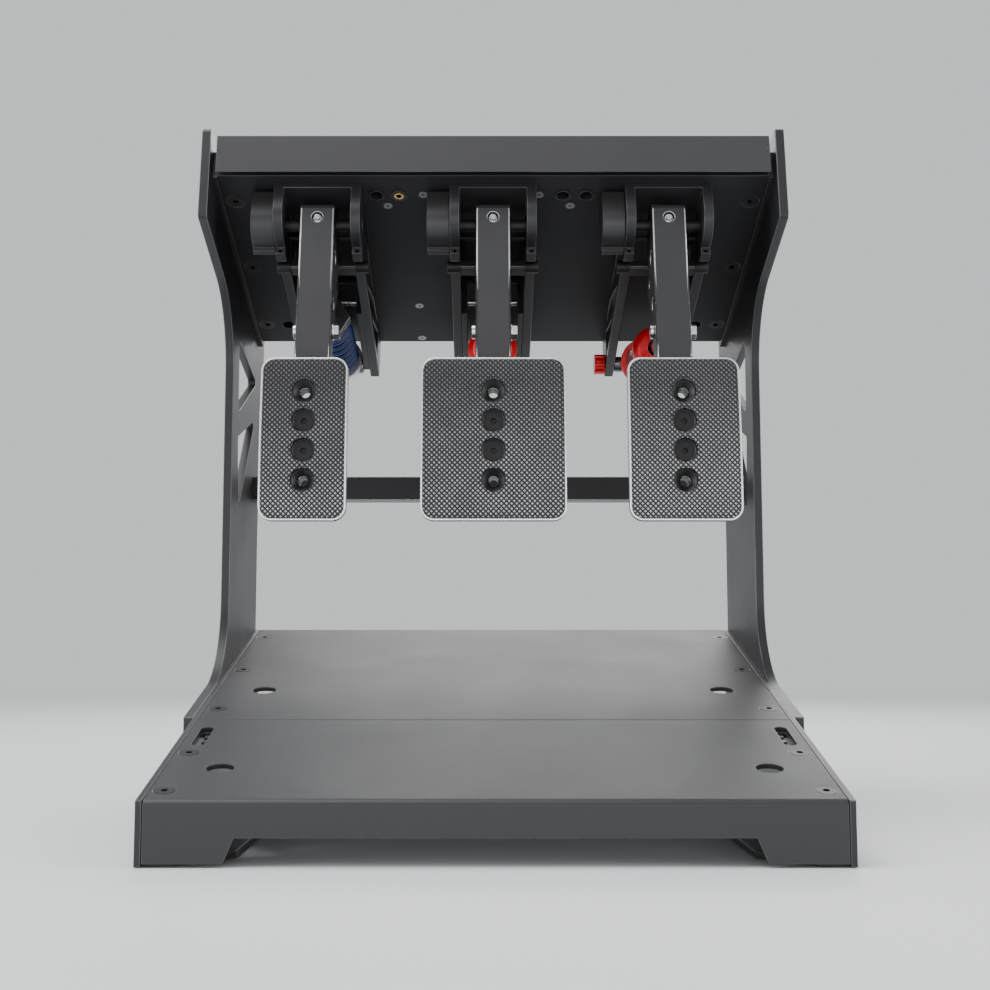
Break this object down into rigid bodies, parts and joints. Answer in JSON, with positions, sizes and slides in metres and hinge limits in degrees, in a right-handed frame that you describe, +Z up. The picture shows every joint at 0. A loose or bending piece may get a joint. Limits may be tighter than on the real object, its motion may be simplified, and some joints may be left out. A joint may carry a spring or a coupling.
{
  "type": "sim racing pedal set",
  "caption": "Inverted sim racing pedal set: clutch, brake and throttle hang from a sloped plate between two upright side plates over an inclined heel plate.",
  "frame": {"origin": "centre of the footprint on the floor", "axes": "+X to the right as seen by the driver, -Y towards the driver, +Z up"},
  "size_m": [0.376, 0.38, 0.4428],
  "materials": {
    "powder_coat": "satin",
    "module_black": "satin",
    "black_oxide": "matte",
    "bare_steel": "satin",
    "bright_screws": "polished",
    "grey_anodised": "satin",
    "red_anodised": "satin",
    "navy_coat": "satin",
    "black_rubber": "matte",
    "black_plastic": "matte",
    "gold_plating": "polished",
    "circuit_board": "gloss"
  },
  "bodies": {
    "frame": {"side_plate_left": "powder_coat", "side_plate_right": "powder_coat", "base_rail_left": "powder_coat", "base_rail_right": "powder_coat", "heel_plate_front": "powder_coat", "heel_plate_rear": "powder_coat", "mounting_plate": "powder_coat", "mount_brackets": "powder_coat", "top_cover": "powder_coat", "rear_crossbar": "powder_coat", "frame_screws": "black_oxide", "cover_screws": "bright_screws", "haptic_sockets": "black_plastic", "audio_jack": "gold_plating", "control_board": "circuit_board", "usb_socket": "bare_steel", "module_bolts": "black_oxide", "pivot_box_clutch": "module_black", "pivot_box_brake": "module_black", "pivot_box_throttle": "module_black", "sensor_cover_clutch": "module_black", "sensor_cover_brake": "module_black", "sensor_cover_throttle": "module_black", "sensor_boards": "circuit_board", "side_rails_clutch": "module_black", "side_rails_brake": "module_black", "side_rails_throttle": "module_black", "stop_bars": "module_black", "carriers": "module_black", "cross_rods": "bare_steel", "rear_pins": "black_oxide"},
    "clutch_pedal": {"pivot_shaft_clutch": "bare_steel", "arm_clutch": "module_black", "face_clutch": "module_black", "face_screws_clutch": "black_oxide", "arm_bolts_clutch": "bright_screws"},
    "brake_pedal": {"pivot_shaft_brake": "bare_steel", "arm_brake": "module_black", "face_brake": "module_black", "face_screws_brake": "black_oxide", "arm_bolts_brake": "bright_screws"},
    "throttle_pedal": {"pivot_shaft_throttle": "bare_steel", "arm_throttle": "module_black", "face_throttle": "module_black", "face_screws_throttle": "black_oxide", "arm_bolts_throttle": "bright_screws"},
    "clutch_cylinder": {"clutch_tube": "grey_anodised", "clutch_spring": "navy_coat"},
    "clutch_plunger": {"clutch_rod": "bare_steel"},
    "clutch_spring_seat": {"clutch_nut": "grey_anodised"},
    "brake_cylinder": {"brake_body": "module_black", "brake_elastomer": "black_rubber"},
    "brake_plunger": {"brake_rod": "bare_steel"},
    "brake_preload_ring": {"brake_collar": "red_anodised"},
    "throttle_cylinder": {"throttle_body": "grey_anodised", "throttle_ring": "red_anodised", "throttle_spring": "bare_steel"},
    "throttle_plunger": {"throttle_rod": "bare_steel"},
    "throttle_preload_ring": {"throttle_collar": "red_anodised"},
    "throttle_damping_knob": {"throttle_knob": "red_anodised"}
  },
  "joints": [
    {"name": "clutch_press", "type": "hinge", "parent": "frame", "child": "clutch_pedal", "pos_m": [-0.1142, -0.01391, 0.38452], "axis": [1, 0, 0], "range_deg": [0, 16], "stiffness_Nm_per_rad": 60, "springref_deg": -2.86},
    {"name": "brake_press", "type": "hinge", "parent": "frame", "child": "brake_pedal", "pos_m": [0, -0.01391, 0.38452], "axis": [1, 0, 0], "range_deg": [0, 6], "stiffness_Nm_per_rad": 250, "springref_deg": -1.15},
    {"name": "throttle_press", "type": "hinge", "parent": "frame", "child": "throttle_pedal", "pos_m": [0.1142, -0.01391, 0.38452], "axis": [1, 0, 0], "range_deg": [0, 15], "stiffness_Nm_per_rad": 20, "springref_deg": -5.73},
    {"name": "clutch_swing", "type": "hinge", "parent": "frame", "child": "clutch_cylinder", "pos_m": [-0.1142, 0.13398, 0.32199], "axis": [1, 0, 0], "range_deg": [-1.87, 0]},
    {"name": "clutch_stroke", "type": "slide", "parent": "clutch_cylinder", "child": "clutch_plunger", "axis": [0, 0.9867, -0.1624], "range_m": [0, 0.01021], "deforming": ["clutch_spring"]},
    {"name": "brake_swing", "type": "hinge", "parent": "frame", "child": "brake_cylinder", "pos_m": [0, 0.13398, 0.32199], "axis": [1, 0, 0], "range_deg": [0, 0.694]},
    {"name": "brake_stroke", "type": "slide", "parent": "brake_cylinder", "child": "brake_plunger", "axis": [0, 0.9973, 0.0728], "range_m": [0, 0.00775], "deforming": ["brake_elastomer"]},
    {"name": "throttle_swing", "type": "hinge", "parent": "frame", "child": "throttle_cylinder", "pos_m": [0.1142, 0.13398, 0.32199], "axis": [1, 0, 0], "range_deg": [0, 1.38]},
    {"name": "throttle_stroke", "type": "slide", "parent": "throttle_cylinder", "child": "throttle_plunger", "axis": [0, 0.9973, 0.0728], "range_m": [0, 0.01968], "deforming": ["throttle_spring"]},
    {"name": "clutch_seat_turn", "type": "hinge", "parent": "clutch_plunger", "child": "clutch_spring_seat", "pos_m": [-0.1142, 0.04715, 0.33628], "axis": [0, -0.9867, 0.1624], "continuous": true},
    {"name": "brake_ring_turn", "type": "hinge", "parent": "brake_plunger", "child": "brake_preload_ring", "pos_m": [0, 0.05419, 0.31617], "axis": [0, -0.9973, -0.0728], "continuous": true},
    {"name": "throttle_ring_turn", "type": "hinge", "parent": "throttle_cylinder", "child": "throttle_preload_ring", "pos_m": [0.1142, 0.0502, 0.31588], "axis": [0, -0.9973, -0.0728], "continuous": true},
    {"name": "throttle_knob_turn", "type": "hinge", "parent": "frame", "child": "throttle_damping_knob", "pos_m": [0.0817, 0.13398, 0.32199], "axis": [-1, 0, 0], "continuous": true}
  ],
  "couplings": [
    {"joint": "clutch_swing", "follows": "clutch_press", "ratio": -0.1154},
    {"joint": "clutch_stroke", "follows": "clutch_press", "m_per_rad": 0.036366},
    {"joint": "brake_swing", "follows": "brake_press", "ratio": 0.1124},
    {"joint": "brake_stroke", "follows": "brake_press", "m_per_rad": 0.073574},
    {"joint": "throttle_swing", "follows": "throttle_press", "ratio": 0.0909},
    {"joint": "throttle_stroke", "follows": "throttle_press", "m_per_rad": 0.074971}
  ]
}
